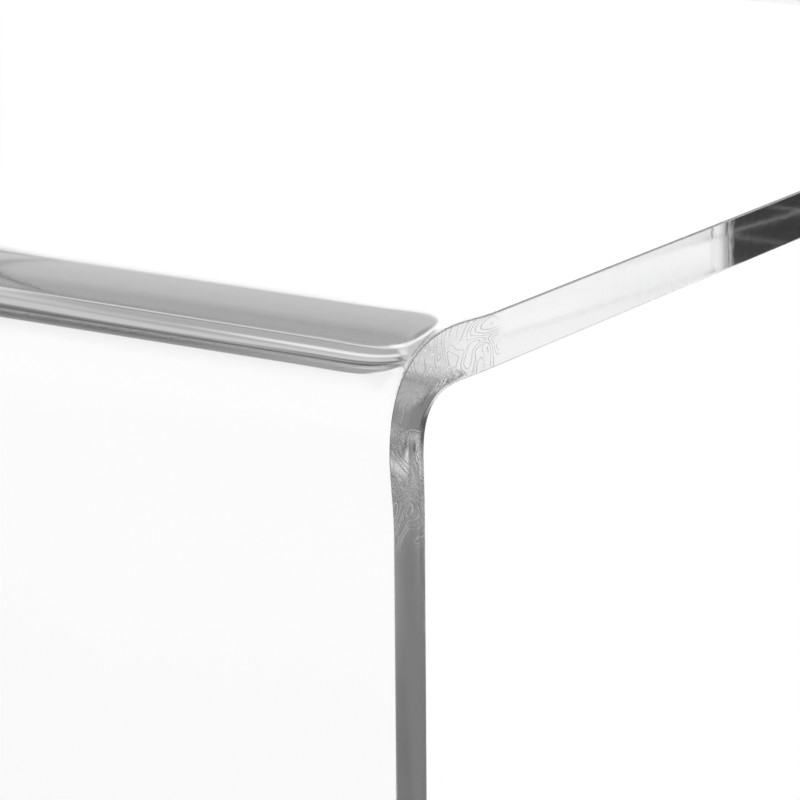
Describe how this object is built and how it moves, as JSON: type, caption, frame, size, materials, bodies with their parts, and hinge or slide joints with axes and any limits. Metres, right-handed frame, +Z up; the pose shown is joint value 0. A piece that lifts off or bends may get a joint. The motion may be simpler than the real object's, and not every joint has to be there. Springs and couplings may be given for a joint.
{
  "type": "c-shaped end table",
  "caption": "C-shaped end table heat-bent from one thick clear acrylic sheet, standing on clear bumper feet.",
  "frame": {"origin": "on the floor, under the middle of the table's depth and width", "axes": "+X from the upright towards the open side, +Y along the bends to the left of someone facing +X, +Z up"},
  "size_m": [0.4605, 0.44, 0.6005],
  "materials": {
    "clear_acrylic": "water-clear cast acrylic, gloss faces and flame-polished edges",
    "clear_rubber": "clear soft polyurethane, smooth",
    "foot_adhesive": "translucent pressure-sensitive adhesive"
  },
  "bodies": {
    "root": {"acrylic_sheet": "clear_acrylic", "foot_front_left": "clear_rubber", "foot_front_right": "clear_rubber", "foot_rear_left": "clear_rubber", "foot_rear_right": "clear_rubber", "foot_adhesive_discs": "foot_adhesive"}
  },
  "joints": []
}
